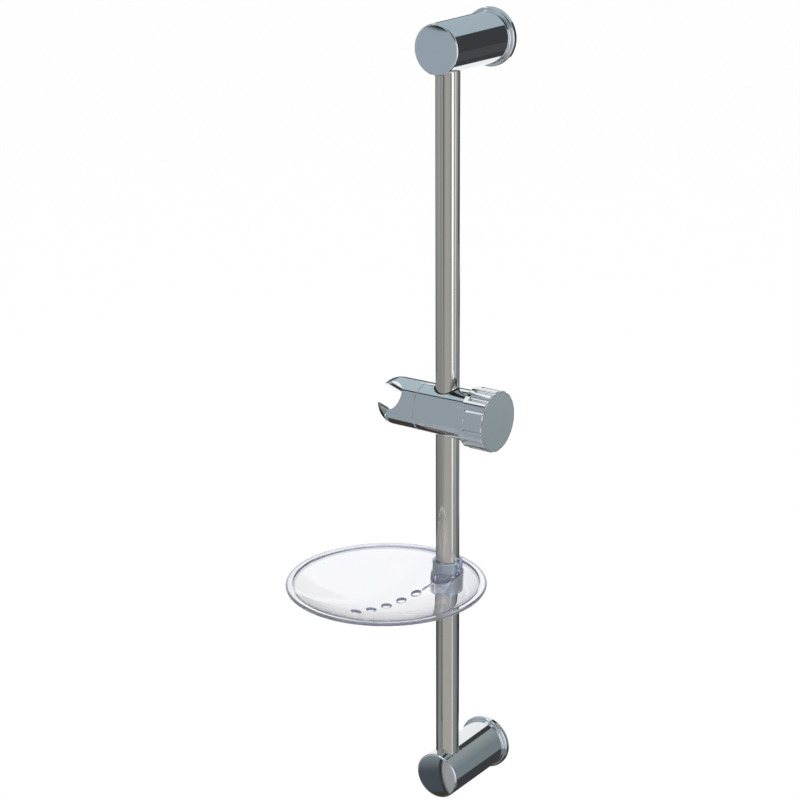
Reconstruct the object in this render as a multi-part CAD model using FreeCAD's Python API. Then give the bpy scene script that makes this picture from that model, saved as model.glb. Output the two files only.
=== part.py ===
# Shower slide rail: a steel tube between two wall brackets, with a swivelling handset slider and a clear
# soap dish. Millimetres. The origin is on the wall, midway between the two fixing screws. +X is to the
# right for a person facing the wall, +Y goes into the wall and +Z is up. The tube stands in front of the
# wall at negative Y.
import FreeCAD, Part
import math
import os

Vector = FreeCAD.Vector
X_AXIS = Vector(1, 0, 0)
Y_AXIS = Vector(0, 1, 0)
Z_AXIS = Vector(0, 0, 1)

# Rail
RAIL_DIAMETER = 18.0
RAIL_WALL = 1.0
FIXING_SPACING = 570.0      # between the two bracket axes, which are also the screw holes
STANDOFF = 57.0             # tube axis to wall
TUBE_PAST_AXIS = 10.0       # how far each tube end runs past its bracket's axis
PLUG_HEAD = 2.0             # thickness of the plug's head on the tube end
PLUG_LENGTH = 14.0          # spigot of the plug inside the tube
PLUG_WALL = 1.6

# Brackets
BARREL_NOSE = 15.6          # front face ahead of the tube's axis
BARREL_FRONT_RADIUS = 18.3
BARREL_BACK_RADIUS = 18.9   # a little wider at the wall: the moulding's draft
BARREL_EDGE = 1.3           # rounding of the front edge
SHELL_WALL = 2.6
FLANGE_LIP = 2.7            # flange beyond the barrel
FLANGE_THICKNESS = 4.4
FLANGE_EDGE = 1.5
FLANGE_ROOT = 0.9           # hollow rounding between barrel and flange
SOCKET_WALL = 2.2           # tube socket inside the barrel

# Wall bases
BASE_DEPTH = 16.0
BASE_WALL = 2.6
BASE_PLATE = 4.0
SCREW_HOLE_RADIUS = 2.75
COUNTERSINK_RADIUS = 5.5
GRUB_RADIUS = 2.0
GRUB_SETBACK = 11.0         # grub screw ahead of the wall
GRUB_RECESS = 0.6           # outer end below the barrel's surface
GRUB_KEY = 2.0              # hexagon key across flats
GRUB_KEY_DEPTH = 2.0

# Slider
SLIDER_HEIGHT = 13.8        # slider axis above the middle of the rail, as displayed
SEAM_RADIUS = 18.7          # body and holder where they meet
SLIDER_END_RADIUS = 19.4    # body under the knob
SEAM_GAP = 0.2
SEAM_EDGE = 0.25
LINER_WALL = 1.2
LINER_LENGTH = 7.0
LAND_HALF = 7.0             # half height of the land between the two liner rings
PIVOT_WALL = 5.8            # body behind the liner pocket, which holds the pivot screw
SPIGOT_RADIUS = 8.0
SPIGOT_LENGTH = 3.0
FRICTION_RING_INNER = 9.2
FRICTION_RING_OUTER = 12.8
FRICTION_RING_THICKNESS = 1.6
SHOE_RADIUS = 6.0
SHOE_LENGTH = 6.2           # from the tube's surface to the shoe's back
INSERT_RADIUS = 6.6
INSERT_LENGTH = 9.0
BOSS_WALL = 3.0             # boss of the body around the threaded insert
END_RECESS = 7.0            # hollow in the end of the body, round the boss
BODY_WALL = 2.6

# Knob
KNOB_RADIUS = 23.2
KNOB_LENGTH = 20.2
KNOB_OVERLAP = 2.3          # how far the knob reaches over the end of the body
KNOB_WALL = 2.6
KNOB_EDGE = 0.9
KNOB_RING = 4.0             # plain ring behind the flutes
FLUTE_COUNT = 16
FLUTE_DEPTH = 1.0
FLUTE_RADIUS = 4.2
HUB_RADIUS = 10.0
HUB_GAP = 2.6               # hub to the end of the body
STUD_RADIUS = 4.0
STUD_HEAD_FLATS = 13.0
STUD_HEAD = 5.0
STUD_HEAD_COVER = 3.0       # hub material behind the stud's head
TIP_RADIUS = 2.6            # swivel tip of the stud, snapped into the shoe
TIP_NECK_RADIUS = 2.0
TIP_LENGTH = 2.0
TIP_NECK_LENGTH = 1.2
KNOB_TURNS = 1.5            # from tight to loose
THREAD_PITCH = 1.25

# Handset holder
HOLDER_LENGTH = 39.3
HOLDER_NOSE_RADIUS = 18.35  # holder where its domed end begins
DOME_ROUNDING = 16.0        # rounding of the domed end
CRADLE_RADIUS = 11.1        # seat of the handset
CRADLE_FROM_SEAM = 23.6
CRADLE_TILT = 32.5          # seat axis above the horizontal, towards the front
HOSE_SLOT = 15.5            # mouth between the two horns
HOSE_SLOT_RISE = 0.85       # middle of the mouth above the seat's axis
PIVOT_RADIUS = 2.0
PIVOT_HEAD_RADIUS = 3.9
PIVOT_HEAD = 2.6
PIVOT_HEAD_RECESS = 0.6
PIVOT_TIP_COVER = 0.8       # wall left between the screw tip's hole and the liner pocket
WASHER_THICKNESS = 0.8
WASHER_SHOULDER = 0.6       # dished edge of the washer
DRIVE_WIDTH = 1.1           # cross recess
DRIVE_LENGTH = 4.4
DRIVE_DEPTH = 1.4

# Soap dish
DISH_RIM_HEIGHT = -108.7    # top of the rim, as displayed
DISH_RIM_RADIUS = 75.3
DISH_RIM_WIDTH = 4.8
DISH_RIM_THICKNESS = 2.8
DISH_RIM_EDGE = 1.2
DISH_DEPTH = 20.0
DISH_WALL = 2.4
DISH_RIM_PAST_TUBE = 17.3   # rim's outer edge behind the tube's axis
DISH_SWING = 18.6           # turned to the left of straight ahead, as displayed
DRAIN_COUNT = 5
DRAIN_RADIUS = 4.0
DRAIN_PITCH = 14.0
COLLAR_DROP = 7.0           # top of the collar below the rim
COLLAR_HEIGHT = 15.3
COLLAR_WALL = 1.4
SLIT_WIDTH = 1.2
SLIT_REACH = 24.0           # end of the slit from the tube's axis
BUSH_WALL = 2.4
BUSH_RISE = 9.7             # bush above the collar
BUSH_FLANGE = 2.0
BUSH_SPLIT = 1.6
BUSH_SPLIT_LEAN = 32.0      # slant of the split
BUSH_SPLIT_SIDE = 66.0      # split to the right of straight ahead

# Small roundings
SOFT_EDGE = 0.4             # moulded and turned edges
LEAD_EDGE = 0.7             # edges that lead a piece into its seat
MOULD_CORNER = 1.0          # inner corners of hollow mouldings
SCREW_HEAD_EDGE = 1.2

# Clearances
RUNNING = 0.06              # radial, between pieces that turn or slide on each other
SEAT = 0.05                 # radial, between pieces that are pushed together
FACE_GAP = 0.05             # between flat faces that turn against each other
BASE_CLEARANCE = 0.15       # wall base inside the bracket
ROOM = 0.3                  # round a screw's head and tip, and behind the shoe when it is loose
PAST = 5.0                  # how far a cutting shape runs past the face that it opens
NEAR = 0.01                 # lengths that differ by less are the same

# Worked out from the sizes above
RAIL_RADIUS = RAIL_DIAMETER / 2
BARREL_LENGTH = STANDOFF + BARREL_NOSE
CAVITY_RADIUS = BARREL_FRONT_RADIUS - SHELL_WALL
TUBE_HALF = FIXING_SPACING / 2 + TUBE_PAST_AXIS
LINER_POCKET_RADIUS = RAIL_RADIUS + LINER_WALL + 2 * RUNNING
RAIL_BORE_RADIUS = RAIL_RADIUS + LINER_WALL / 2
SEAM_X = -(LINER_POCKET_RADIUS + PIVOT_WALL + SPIGOT_LENGTH)
SHOE_BACK_X = RAIL_RADIUS + SHOE_LENGTH
KNOB_TRAVEL = KNOB_TURNS * THREAD_PITCH
INSERT_X = SHOE_BACK_X + KNOB_TRAVEL + ROOM
BODY_END_X = INSERT_X + INSERT_LENGTH
KNOB_BACK_X = BODY_END_X - KNOB_OVERLAP
KNOB_FACE_X = KNOB_BACK_X + KNOB_LENGTH
HUB_X = BODY_END_X + HUB_GAP
STUD_HEAD_X = HUB_X + STUD_HEAD_COVER
HOLDER_SEAM_X = SEAM_X - SEAM_GAP
CRADLE_X = HOLDER_SEAM_X - CRADLE_FROM_SEAM
PIVOT_TOP_X = CRADLE_X + CRADLE_RADIUS + PIVOT_HEAD_RECESS
PIVOT_SEAT_X = PIVOT_TOP_X + PIVOT_HEAD + WASHER_THICKNESS
PIVOT_HOLE_X = -(LINER_POCKET_RADIUS + PIVOT_TIP_COVER)
DISH_REACH = DISH_RIM_RADIUS - DISH_RIM_PAST_TUBE    # dish centre from the tube's axis
COLLAR_TOP_Z = DISH_RIM_HEIGHT - COLLAR_DROP
COLLAR_BOTTOM_Z = COLLAR_TOP_Z - COLLAR_HEIGHT
BUSH_RADIUS = RAIL_RADIUS + RUNNING + BUSH_WALL
COLLAR_BORE_RADIUS = BUSH_RADIUS + RUNNING
COLLAR_RADIUS = COLLAR_BORE_RADIUS + COLLAR_WALL


def outline(corners, place):
    """Closed wire through corners (u, v, rounding); place turns (u, v) into a point in space."""
    count = len(corners)
    spans = []
    for index in range(count):
        u, v, rounding = corners[index]
        here = Vector(u, v, 0)
        before = Vector(*corners[index - 1][:2], 0)
        after = Vector(*corners[(index + 1) % count][:2], 0)
        if rounding <= 0:
            spans.append((here, None, here))
            continue
        back = (before - here).normalize()
        ahead = (after - here).normalize()
        half = back.getAngle(ahead) / 2
        cut = rounding / math.tan(half)
        bisector = (back + ahead).normalize()
        middle = here + bisector * (rounding / math.sin(half) - rounding)
        spans.append((here + back * cut, middle, here + ahead * cut))
    edges = []
    for index in range(count):
        start, middle, end = spans[index]
        following = spans[(index + 1) % count][0]
        if middle is not None:
            edges.append(Part.Arc(*[place(p.x, p.y) for p in (start, middle, end)]).toShape())
        if end.distanceToPoint(following) > 1e-6:
            edges.append(Part.LineSegment(place(end.x, end.y), place(following.x, following.y)).toShape())
    return Part.Wire(edges)


def turned(corners, place, centre, axis):
    """Solid of revolution of an outline about an axis through centre."""
    return Part.Face(outline(corners, place)).revolve(centre, axis, 360)


def turned_on_slider(corners):
    """Solid of revolution about the slider's axis, from corners (x, radius, rounding)."""
    centre = Vector(0, -STANDOFF, SLIDER_HEIGHT)
    return turned(corners, lambda x, r: Vector(x, -STANDOFF, SLIDER_HEIGHT + r), centre, X_AXIS)


def turned_on_rail(corners):
    """Solid of revolution about the tube's axis, from corners (radius, z, rounding)."""
    centre = Vector(0, -STANDOFF, 0)
    return turned(corners, lambda r, z: Vector(r, -STANDOFF, z), centre, Z_AXIS)


def rail_cylinder(radius, low, high):
    """Cylinder on the tube's axis between two heights."""
    return Part.makeCylinder(radius, high - low, Vector(0, -STANDOFF, low), Z_AXIS)


def slider_cylinder(radius, start, end):
    """Cylinder on the slider's axis between two places along X."""
    return Part.makeCylinder(radius, end - start, Vector(start, -STANDOFF, SLIDER_HEIGHT), X_AXIS)


def hexagon_prism(across_flats, base, axis, length):
    """Six-sided bar that starts at base and runs along axis."""
    corner = across_flats / math.sqrt(3)
    side = Z_AXIS if abs(axis.z) < 0.5 else X_AXIS
    other = axis.cross(side)
    points = []
    for index in range(7):
        angle = math.radians(60 * index)
        points.append(base + side * (corner * math.cos(angle)) + other * (corner * math.sin(angle)))
    return Part.Face(Part.makePolygon(points)).extrude(axis * length)


def rail_tube():
    """Satin steel tube, open at both ends."""
    bore = rail_cylinder(RAIL_RADIUS - RAIL_WALL, -TUBE_HALF, TUBE_HALF)
    return rail_cylinder(RAIL_RADIUS, -TUBE_HALF, TUBE_HALF).cut(bore)


def tube_plug(side):
    """Hollow plug pressed into a tube end, with a head that closes it; side is +1 at the top and -1 below."""
    spigot = RAIL_RADIUS - RAIL_WALL - SEAT
    hollow = spigot - PLUG_WALL
    inner_end = TUBE_HALF - PLUG_LENGTH
    corners = [
        (0, TUBE_HALF + PLUG_HEAD, 0),
        (RAIL_RADIUS, TUBE_HALF + PLUG_HEAD, SOFT_EDGE),
        (RAIL_RADIUS, TUBE_HALF, 0),
        (spigot, TUBE_HALF, 0),
        (spigot, inner_end, LEAD_EDGE),
        (hollow, inner_end, 0),
        (hollow, TUBE_HALF, 0),
        (0, TUBE_HALF, 0),
    ]
    return turned_on_rail([(r, side * z, rounding) for r, z, rounding in corners])


def barrel_radius(setback):
    """Outer radius of the drafted barrel at a distance ahead of the wall."""
    run = (setback - FLANGE_THICKNESS) / (BARREL_LENGTH - FLANGE_THICKNESS)
    return BARREL_BACK_RADIUS + (BARREL_FRONT_RADIUS - BARREL_BACK_RADIUS) * run


def bracket(side):
    """One-piece moulded bracket: drafted barrel, closed front, flange, and a socket for the tube's end."""
    height = side * FIXING_SPACING / 2
    centre = Vector(0, 0, height)
    flange_radius = BARREL_BACK_RADIUS + FLANGE_LIP
    outside = [
        (0, 0, 0),
        (flange_radius, 0, SOFT_EDGE),
        (flange_radius, -FLANGE_THICKNESS, FLANGE_EDGE),
        (BARREL_BACK_RADIUS, -FLANGE_THICKNESS, FLANGE_ROOT),
        (BARREL_FRONT_RADIUS, -BARREL_LENGTH, BARREL_EDGE),
        (0, -BARREL_LENGTH, 0),
    ]
    cavity = [
        (0, PAST, 0),
        (CAVITY_RADIUS, PAST, 0),
        (CAVITY_RADIUS, -BARREL_LENGTH + SHELL_WALL, MOULD_CORNER),
        (0, -BARREL_LENGTH + SHELL_WALL, 0),
    ]
    place = lambda r, y: Vector(r, y, height)
    solid = turned(outside, place, centre, Y_AXIS)
    shell = solid.cut(turned(cavity, place, centre, Y_AXIS))
    bore = RAIL_RADIUS + SEAT
    stop = TUBE_HALF + PLUG_HEAD
    entry = FIXING_SPACING / 2 - BARREL_BACK_RADIUS
    ends = sorted((side * entry, side * (stop + SOCKET_WALL)))
    socket = solid.common(rail_cylinder(bore + SOCKET_WALL, *ends))
    hole = rail_cylinder(bore, *sorted((side * (entry - PAST), side * stop)))
    grub_foot = Vector(0, -GRUB_SETBACK, height)
    grub_hole = Part.makeCylinder(GRUB_RADIUS, BARREL_BACK_RADIUS, grub_foot, -Z_AXIS)
    return shell.fuse(socket).cut(hole).cut(grub_hole).removeSplitter()


def wall_base(side):
    """Plastic cup that is screwed to the wall; the bracket pushes on over it."""
    height = side * FIXING_SPACING / 2
    centre = Vector(0, 0, height)
    radius = CAVITY_RADIUS - BASE_CLEARANCE
    corners = [
        (SCREW_HOLE_RADIUS, 0, 0),
        (radius, 0, 0),
        (radius, -BASE_DEPTH, LEAD_EDGE),
        (radius - BASE_WALL, -BASE_DEPTH, SOFT_EDGE),
        (radius - BASE_WALL, -BASE_PLATE, MOULD_CORNER),
        (COUNTERSINK_RADIUS, -BASE_PLATE, 0),
        (SCREW_HOLE_RADIUS, -BASE_PLATE + COUNTERSINK_RADIUS - SCREW_HOLE_RADIUS, 0),
    ]
    cup = turned(corners, lambda r, y: Vector(r, y, height), centre, Y_AXIS)
    grub_foot = Vector(0, -GRUB_SETBACK, height)
    grub_hole = Part.makeCylinder(GRUB_RADIUS + SEAT, radius + PAST, grub_foot, -Z_AXIS)
    return cup.cut(grub_hole)


def grub_screw(side):
    """Headless screw under a bracket that locks it to its wall base."""
    height = side * FIXING_SPACING / 2
    outer = barrel_radius(GRUB_SETBACK) - GRUB_RECESS
    inner = CAVITY_RADIUS - BASE_CLEARANCE - BASE_WALL
    start = Vector(0, -GRUB_SETBACK, height - outer)
    body = Part.makeCylinder(GRUB_RADIUS, outer - inner, start, Z_AXIS)
    return body.cut(hexagon_prism(GRUB_KEY, start, Z_AXIS, GRUB_KEY_DEPTH))


def slider_body():
    """Tapered body of the slider, crossed by the tube and bored along its own axis for clamp and pivot."""
    boss = INSERT_RADIUS + BOSS_WALL
    hollow = SLIDER_END_RADIUS - BODY_WALL
    corners = [
        (SEAM_X, 0, 0),
        (SEAM_X, SEAM_RADIUS, SEAM_EDGE),
        (BODY_END_X, SLIDER_END_RADIUS, SOFT_EDGE),
        (BODY_END_X, hollow, 0),
        (BODY_END_X - END_RECESS, hollow, MOULD_CORNER),
        (BODY_END_X - END_RECESS, boss, 0),
        (BODY_END_X, boss, 0),
        (BODY_END_X, 0, 0),
    ]
    body = turned_on_slider(corners)
    groove_x = SEAM_X + FRICTION_RING_THICKNESS
    groove = slider_cylinder(FRICTION_RING_OUTER + SEAT, SEAM_X, groove_x)
    groove = groove.cut(slider_cylinder(FRICTION_RING_INNER - SEAT, SEAM_X, groove_x))
    middle = SLIDER_HEIGHT
    reach = SLIDER_END_RADIUS + PAST
    cuts = [
        groove,
        slider_cylinder(SPIGOT_RADIUS + RUNNING, SEAM_X - PAST, SEAM_X + SPIGOT_LENGTH),
        slider_cylinder(PIVOT_RADIUS, SEAM_X, PIVOT_HOLE_X),
        slider_cylinder(SHOE_RADIUS + RUNNING, 0, INSERT_X),
        slider_cylinder(INSERT_RADIUS, INSERT_X, BODY_END_X + PAST),
        rail_cylinder(RAIL_BORE_RADIUS, middle - reach, middle + reach),
        rail_cylinder(LINER_POCKET_RADIUS, middle + LAND_HALF, middle + reach),
        rail_cylinder(LINER_POCKET_RADIUS, middle - reach, middle - LAND_HALF),
    ]
    for cut in cuts:
        body = body.cut(cut)
    return body


def liner_ring(side):
    """Plastic ring that slides on the tube and carries one end of the slider body's bore."""
    inner = RAIL_RADIUS + RUNNING
    outer = inner + LINER_WALL
    corners = [
        (inner, LAND_HALF, 0),
        (outer, LAND_HALF, 0),
        (outer, LAND_HALF + LINER_LENGTH, SOFT_EDGE),
        (inner, LAND_HALF + LINER_LENGTH, SOFT_EDGE),
    ]
    return turned_on_rail([(r, SLIDER_HEIGHT + side * z, rounding) for r, z, rounding in corners])


def clamp_shoe():
    """Pad that the knob presses on the tube; the stud's tip swivels in a snap-in socket at its back."""
    shoe = slider_cylinder(SHOE_RADIUS, 0, SHOE_BACK_X)
    reach = SHOE_RADIUS + PAST
    tube = rail_cylinder(RAIL_RADIUS + FACE_GAP, SLIDER_HEIGHT - reach, SLIDER_HEIGHT + reach)
    neck_x = SHOE_BACK_X - TIP_NECK_LENGTH + FACE_GAP
    socket = slider_cylinder(TIP_RADIUS + RUNNING, neck_x - TIP_LENGTH - 2 * FACE_GAP, neck_x)
    mouth = slider_cylinder(TIP_NECK_RADIUS + RUNNING, neck_x, SHOE_BACK_X)
    return shoe.cut(tube).cut(socket).cut(mouth)


def threaded_insert():
    """Brass bush pressed into the body's boss; the stud screws through it."""
    inner = STUD_RADIUS + RUNNING
    corners = [
        (INSERT_X, inner, SOFT_EDGE),
        (INSERT_X, INSERT_RADIUS, LEAD_EDGE),
        (BODY_END_X, INSERT_RADIUS, SOFT_EDGE),
        (BODY_END_X, inner, SOFT_EDGE),
    ]
    return turned_on_slider(corners)


def stud_head():
    """Hexagon head of the stud, held in the knob's hub."""
    base = Vector(STUD_HEAD_X, -STANDOFF, SLIDER_HEIGHT)
    return hexagon_prism(STUD_HEAD_FLATS, base, X_AXIS, STUD_HEAD)


def knob_stud():
    """Steel stud moulded into the knob, with a hexagon head and a swivel tip."""
    shoulder = SHOE_BACK_X + FACE_GAP
    neck_x = SHOE_BACK_X - TIP_NECK_LENGTH
    corners = [
        (neck_x - TIP_LENGTH, 0, 0),
        (neck_x - TIP_LENGTH, TIP_RADIUS, LEAD_EDGE),
        (neck_x, TIP_RADIUS, 0),
        (neck_x, TIP_NECK_RADIUS, 0),
        (shoulder, TIP_NECK_RADIUS, 0),
        (shoulder, STUD_RADIUS, SOFT_EDGE),
        (STUD_HEAD_X, STUD_RADIUS, 0),
        (STUD_HEAD_X, 0, 0),
    ]
    return turned_on_slider(corners).fuse(stud_head()).removeSplitter()


def control_knob():
    """Hollow fluted knob with a plain ring at its back, a flat face and a hub round the stud."""
    floor = KNOB_FACE_X - KNOB_WALL
    skirt = KNOB_RADIUS - FLUTE_DEPTH - KNOB_WALL
    corners = [
        (KNOB_BACK_X, skirt, SOFT_EDGE),
        (KNOB_BACK_X, KNOB_RADIUS, LEAD_EDGE),
        (KNOB_FACE_X, KNOB_RADIUS, KNOB_EDGE),
        (KNOB_FACE_X, 0, 0),
        (HUB_X, 0, 0),
        (HUB_X, HUB_RADIUS, SOFT_EDGE),
        (floor, HUB_RADIUS, MOULD_CORNER),
        (floor, skirt, MOULD_CORNER),
    ]
    knob = turned_on_slider(corners)
    flute_centre = KNOB_RADIUS - FLUTE_DEPTH + FLUTE_RADIUS
    start = KNOB_BACK_X + KNOB_RING
    flutes = []
    for index in range(FLUTE_COUNT):
        angle = math.radians(360 * (index + 0.5) / FLUTE_COUNT)
        y = -STANDOFF - flute_centre * math.cos(angle)
        z = SLIDER_HEIGHT + flute_centre * math.sin(angle)
        flutes.append(Part.makeCylinder(FLUTE_RADIUS, KNOB_LENGTH, Vector(start, y, z), X_AXIS))
    knob = knob.cut(Part.makeCompound(flutes))
    return knob.cut(slider_cylinder(STUD_RADIUS, HUB_X, STUD_HEAD_X)).cut(stud_head())


def handset_holder():
    """Domed holder that turns on the slider's end, with a tilted handset seat and a slot for the hose."""
    nose_x = HOLDER_SEAM_X - HOLDER_LENGTH
    spigot_x = SEAM_X + SPIGOT_LENGTH - FACE_GAP
    corners = [
        (spigot_x, 0, 0),
        (nose_x, 0, 0),
        (nose_x, HOLDER_NOSE_RADIUS, DOME_ROUNDING),
        (HOLDER_SEAM_X, SEAM_RADIUS, SEAM_EDGE),
        (HOLDER_SEAM_X, SPIGOT_RADIUS, 0),
        (spigot_x, SPIGOT_RADIUS, SOFT_EDGE),
    ]
    holder = turned_on_slider(corners)
    tilt = math.radians(CRADLE_TILT)
    seat_axis = Vector(0, -math.cos(tilt), math.sin(tilt))
    reach = SEAM_RADIUS + PAST
    centre = Vector(CRADLE_X, -STANDOFF, SLIDER_HEIGHT)
    seat = Part.makeCylinder(CRADLE_RADIUS, 2 * reach, centre - seat_axis * reach, seat_axis)
    slot_length = CRADLE_X - nose_x + PAST
    slot_corner = Vector(-slot_length, -reach, HOSE_SLOT_RISE - HOSE_SLOT / 2)
    slot = Part.makeBox(slot_length, 2 * reach, HOSE_SLOT, slot_corner)
    slot.rotate(Vector(0, 0, 0), X_AXIS, -CRADLE_TILT)
    slot.translate(centre)
    screw_hole = slider_cylinder(PIVOT_RADIUS + RUNNING, CRADLE_X, spigot_x + PAST)
    head_hole = slider_cylinder(PIVOT_HEAD_RADIUS + ROOM, CRADLE_X, PIVOT_SEAT_X)
    return holder.cut(seat).cut(slot).cut(screw_hole).cut(head_hole)


def holder_pivot_screw():
    """Cross-recess screw through the holder into the slider body; the holder turns on it."""
    head_x = PIVOT_SEAT_X - WASHER_THICKNESS
    corners = [
        (PIVOT_TOP_X, 0, 0),
        (PIVOT_TOP_X, PIVOT_HEAD_RADIUS, SCREW_HEAD_EDGE),
        (head_x, PIVOT_HEAD_RADIUS, 0),
        (head_x, PIVOT_RADIUS, 0),
        (PIVOT_HOLE_X - ROOM, PIVOT_RADIUS, SOFT_EDGE),
        (PIVOT_HOLE_X - ROOM, 0, 0),
    ]
    screw = turned_on_slider(corners)
    for width, height in ((DRIVE_LENGTH, DRIVE_WIDTH), (DRIVE_WIDTH, DRIVE_LENGTH)):
        corner = Vector(PIVOT_TOP_X, -STANDOFF - width / 2, SLIDER_HEIGHT - height / 2)
        screw = screw.cut(Part.makeBox(DRIVE_DEPTH, width, height, corner))
    return screw


def holder_spring_washer():
    """Dished washer under the pivot screw's head; it keeps the holder stiff to turn."""
    inner = PIVOT_RADIUS + SEAT
    edge = PIVOT_SEAT_X - FACE_GAP
    corners = [
        (edge - WASHER_THICKNESS + FACE_GAP, inner, 0),
        (edge - WASHER_THICKNESS + FACE_GAP, PIVOT_HEAD_RADIUS - WASHER_SHOULDER, 0),
        (edge - WASHER_THICKNESS / 2, PIVOT_HEAD_RADIUS, 0),
        (edge, PIVOT_HEAD_RADIUS, 0),
        (edge - WASHER_THICKNESS / 3, inner, 0),
    ]
    return turned_on_slider(corners)


def holder_friction_ring():
    """Rubber ring in the slider body's end that brakes the holder."""
    back = SEAM_X + FRICTION_RING_THICKNESS
    front = HOLDER_SEAM_X + FACE_GAP
    corners = [
        (front, FRICTION_RING_INNER, SOFT_EDGE),
        (front, FRICTION_RING_OUTER, SOFT_EDGE),
        (back, FRICTION_RING_OUTER, 0),
        (back, FRICTION_RING_INNER, 0),
    ]
    return turned_on_slider(corners)


def bowl():
    """Shallow spherical bowl with a thick rounded rim, straight in front of the tube."""
    centre = Vector(0, -STANDOFF - DISH_REACH, 0)
    inner_radius = DISH_RIM_RADIUS - DISH_RIM_WIDTH
    sphere = (inner_radius ** 2 + DISH_DEPTH ** 2) / (2 * DISH_DEPTH)
    sphere_z = DISH_RIM_HEIGHT - DISH_DEPTH + sphere
    under_z = DISH_RIM_HEIGHT - DISH_RIM_THICKNESS
    place = lambda r, z: centre + Vector(r, 0, z)

    def on_sphere(radius, r):
        return place(r, sphere_z - math.sqrt(radius ** 2 - r ** 2))

    outer_sphere = sphere + DISH_WALL
    under_radius = math.sqrt(outer_sphere ** 2 - (sphere_z - under_z) ** 2)
    rim_top = place(inner_radius, DISH_RIM_HEIGHT)
    rim_under = place(under_radius, under_z)
    rim_corner = place(DISH_RIM_RADIUS, DISH_RIM_HEIGHT)
    rim_foot = place(DISH_RIM_RADIUS, under_z)
    inside = Part.Arc(on_sphere(sphere, 0), on_sphere(sphere, inner_radius / 2), rim_top)
    lowest = on_sphere(outer_sphere, 0)
    outside = Part.Arc(rim_under, on_sphere(outer_sphere, under_radius / 2), lowest)
    edges = [
        inside.toShape(),
        Part.LineSegment(rim_top, rim_corner).toShape(),
        Part.LineSegment(rim_corner, rim_foot).toShape(),
        Part.LineSegment(rim_foot, rim_under).toShape(),
        outside.toShape(),
        Part.LineSegment(lowest, on_sphere(sphere, 0)).toShape(),
    ]
    solid = Part.Face(Part.Wire(edges)).revolve(centre, Z_AXIS, 360)
    rim_lengths = [2 * math.pi * radius for radius in (inner_radius, DISH_RIM_RADIUS)]
    rim_edges = []
    for edge in solid.Edges:
        if min(abs(edge.Length - length) for length in rim_lengths) < NEAR:
            rim_edges.append(edge)
    return solid.makeFillet(DISH_RIM_EDGE, rim_edges)


def soap_dish():
    """Clear dish: bowl, collar round the bush, a row of drain holes and a slit that lets the collar give."""
    dish = bowl()
    collar = rail_cylinder(COLLAR_RADIUS, COLLAR_BOTTOM_Z, COLLAR_TOP_Z)
    dish = dish.fuse(collar)
    cuts = [rail_cylinder(COLLAR_BORE_RADIUS, COLLAR_BOTTOM_Z - PAST, DISH_RIM_HEIGHT + PAST)]
    depth = DISH_DEPTH + DISH_WALL + 2 * PAST
    for index in range(DRAIN_COUNT):
        along = (index - (DRAIN_COUNT - 1) / 2) * DRAIN_PITCH
        foot = Vector(0, -STANDOFF - DISH_REACH + along, DISH_RIM_HEIGHT - depth)
        cuts.append(Part.makeCylinder(DRAIN_RADIUS, depth, foot, Z_AXIS))
    slit_corner = Vector(-SLIT_WIDTH / 2, -STANDOFF - SLIT_REACH, COLLAR_BOTTOM_Z - PAST)
    cuts.append(Part.makeBox(SLIT_WIDTH, SLIT_REACH, COLLAR_HEIGHT + 2 * PAST, slit_corner))
    for cut in cuts:
        dish = dish.cut(cut)
    dish = dish.removeSplitter()
    dish.rotate(Vector(0, -STANDOFF, 0), Z_AXIS, -DISH_SWING)
    return dish


def dish_bush():
    """Clear split sleeve that grips the tube; its foot carries the dish's collar."""
    inner = RAIL_RADIUS + RUNNING
    foot_z = COLLAR_BOTTOM_Z - FACE_GAP
    corners = [
        (inner, foot_z - BUSH_FLANGE, 0),
        (COLLAR_RADIUS, foot_z - BUSH_FLANGE, SOFT_EDGE),
        (COLLAR_RADIUS, foot_z, 0),
        (BUSH_RADIUS, foot_z, 0),
        (BUSH_RADIUS, COLLAR_TOP_Z + BUSH_RISE, LEAD_EDGE),
        (inner, COLLAR_TOP_Z + BUSH_RISE, SOFT_EDGE),
    ]
    bush = turned_on_rail(corners)
    length = 2 * (COLLAR_HEIGHT + BUSH_RISE + BUSH_FLANGE)
    corner = Vector(-BUSH_SPLIT / 2, -COLLAR_RADIUS - PAST, -length / 2)
    split = Part.makeBox(BUSH_SPLIT, COLLAR_RADIUS + PAST, length, corner)
    split.rotate(Vector(0, 0, 0), Y_AXIS, BUSH_SPLIT_LEAN)
    split.rotate(Vector(0, 0, 0), Z_AXIS, BUSH_SPLIT_SIDE)
    split.translate(Vector(0, -STANDOFF, COLLAR_TOP_Z))
    return bush.cut(split)


def pieces():
    """Every node's name and shape."""
    return {
        "rail_tube": rail_tube(),
        "upper_tube_plug": tube_plug(1),
        "lower_tube_plug": tube_plug(-1),
        "upper_bracket": bracket(1),
        "lower_bracket": bracket(-1),
        "upper_wall_base": wall_base(1),
        "lower_wall_base": wall_base(-1),
        "bracket_grub_screws": Part.makeCompound([grub_screw(1), grub_screw(-1)]),
        "slider_body": slider_body(),
        "upper_liner_ring": liner_ring(1),
        "lower_liner_ring": liner_ring(-1),
        "clamp_shoe": clamp_shoe(),
        "threaded_insert": threaded_insert(),
        "control_knob": control_knob(),
        "knob_stud": knob_stud(),
        "handset_holder": handset_holder(),
        "holder_pivot_screw": holder_pivot_screw(),
        "holder_spring_washer": holder_spring_washer(),
        "holder_friction_ring": holder_friction_ring(),
        "soap_dish": soap_dish(),
        "dish_bush": dish_bush(),
    }


os.makedirs("parts", exist_ok=True)
for name, shape in pieces().items():
    shape.exportStep(f"parts/{name}.step")
    box = shape.BoundBox
    low = [round(value, 2) for value in (box.XMin, box.YMin, box.ZMin)]
    high = [round(value, 2) for value in (box.XMax, box.YMax, box.ZMax)]
    print(name, len(shape.Solids), shape.isValid(), round(shape.Volume), low, high)
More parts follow.
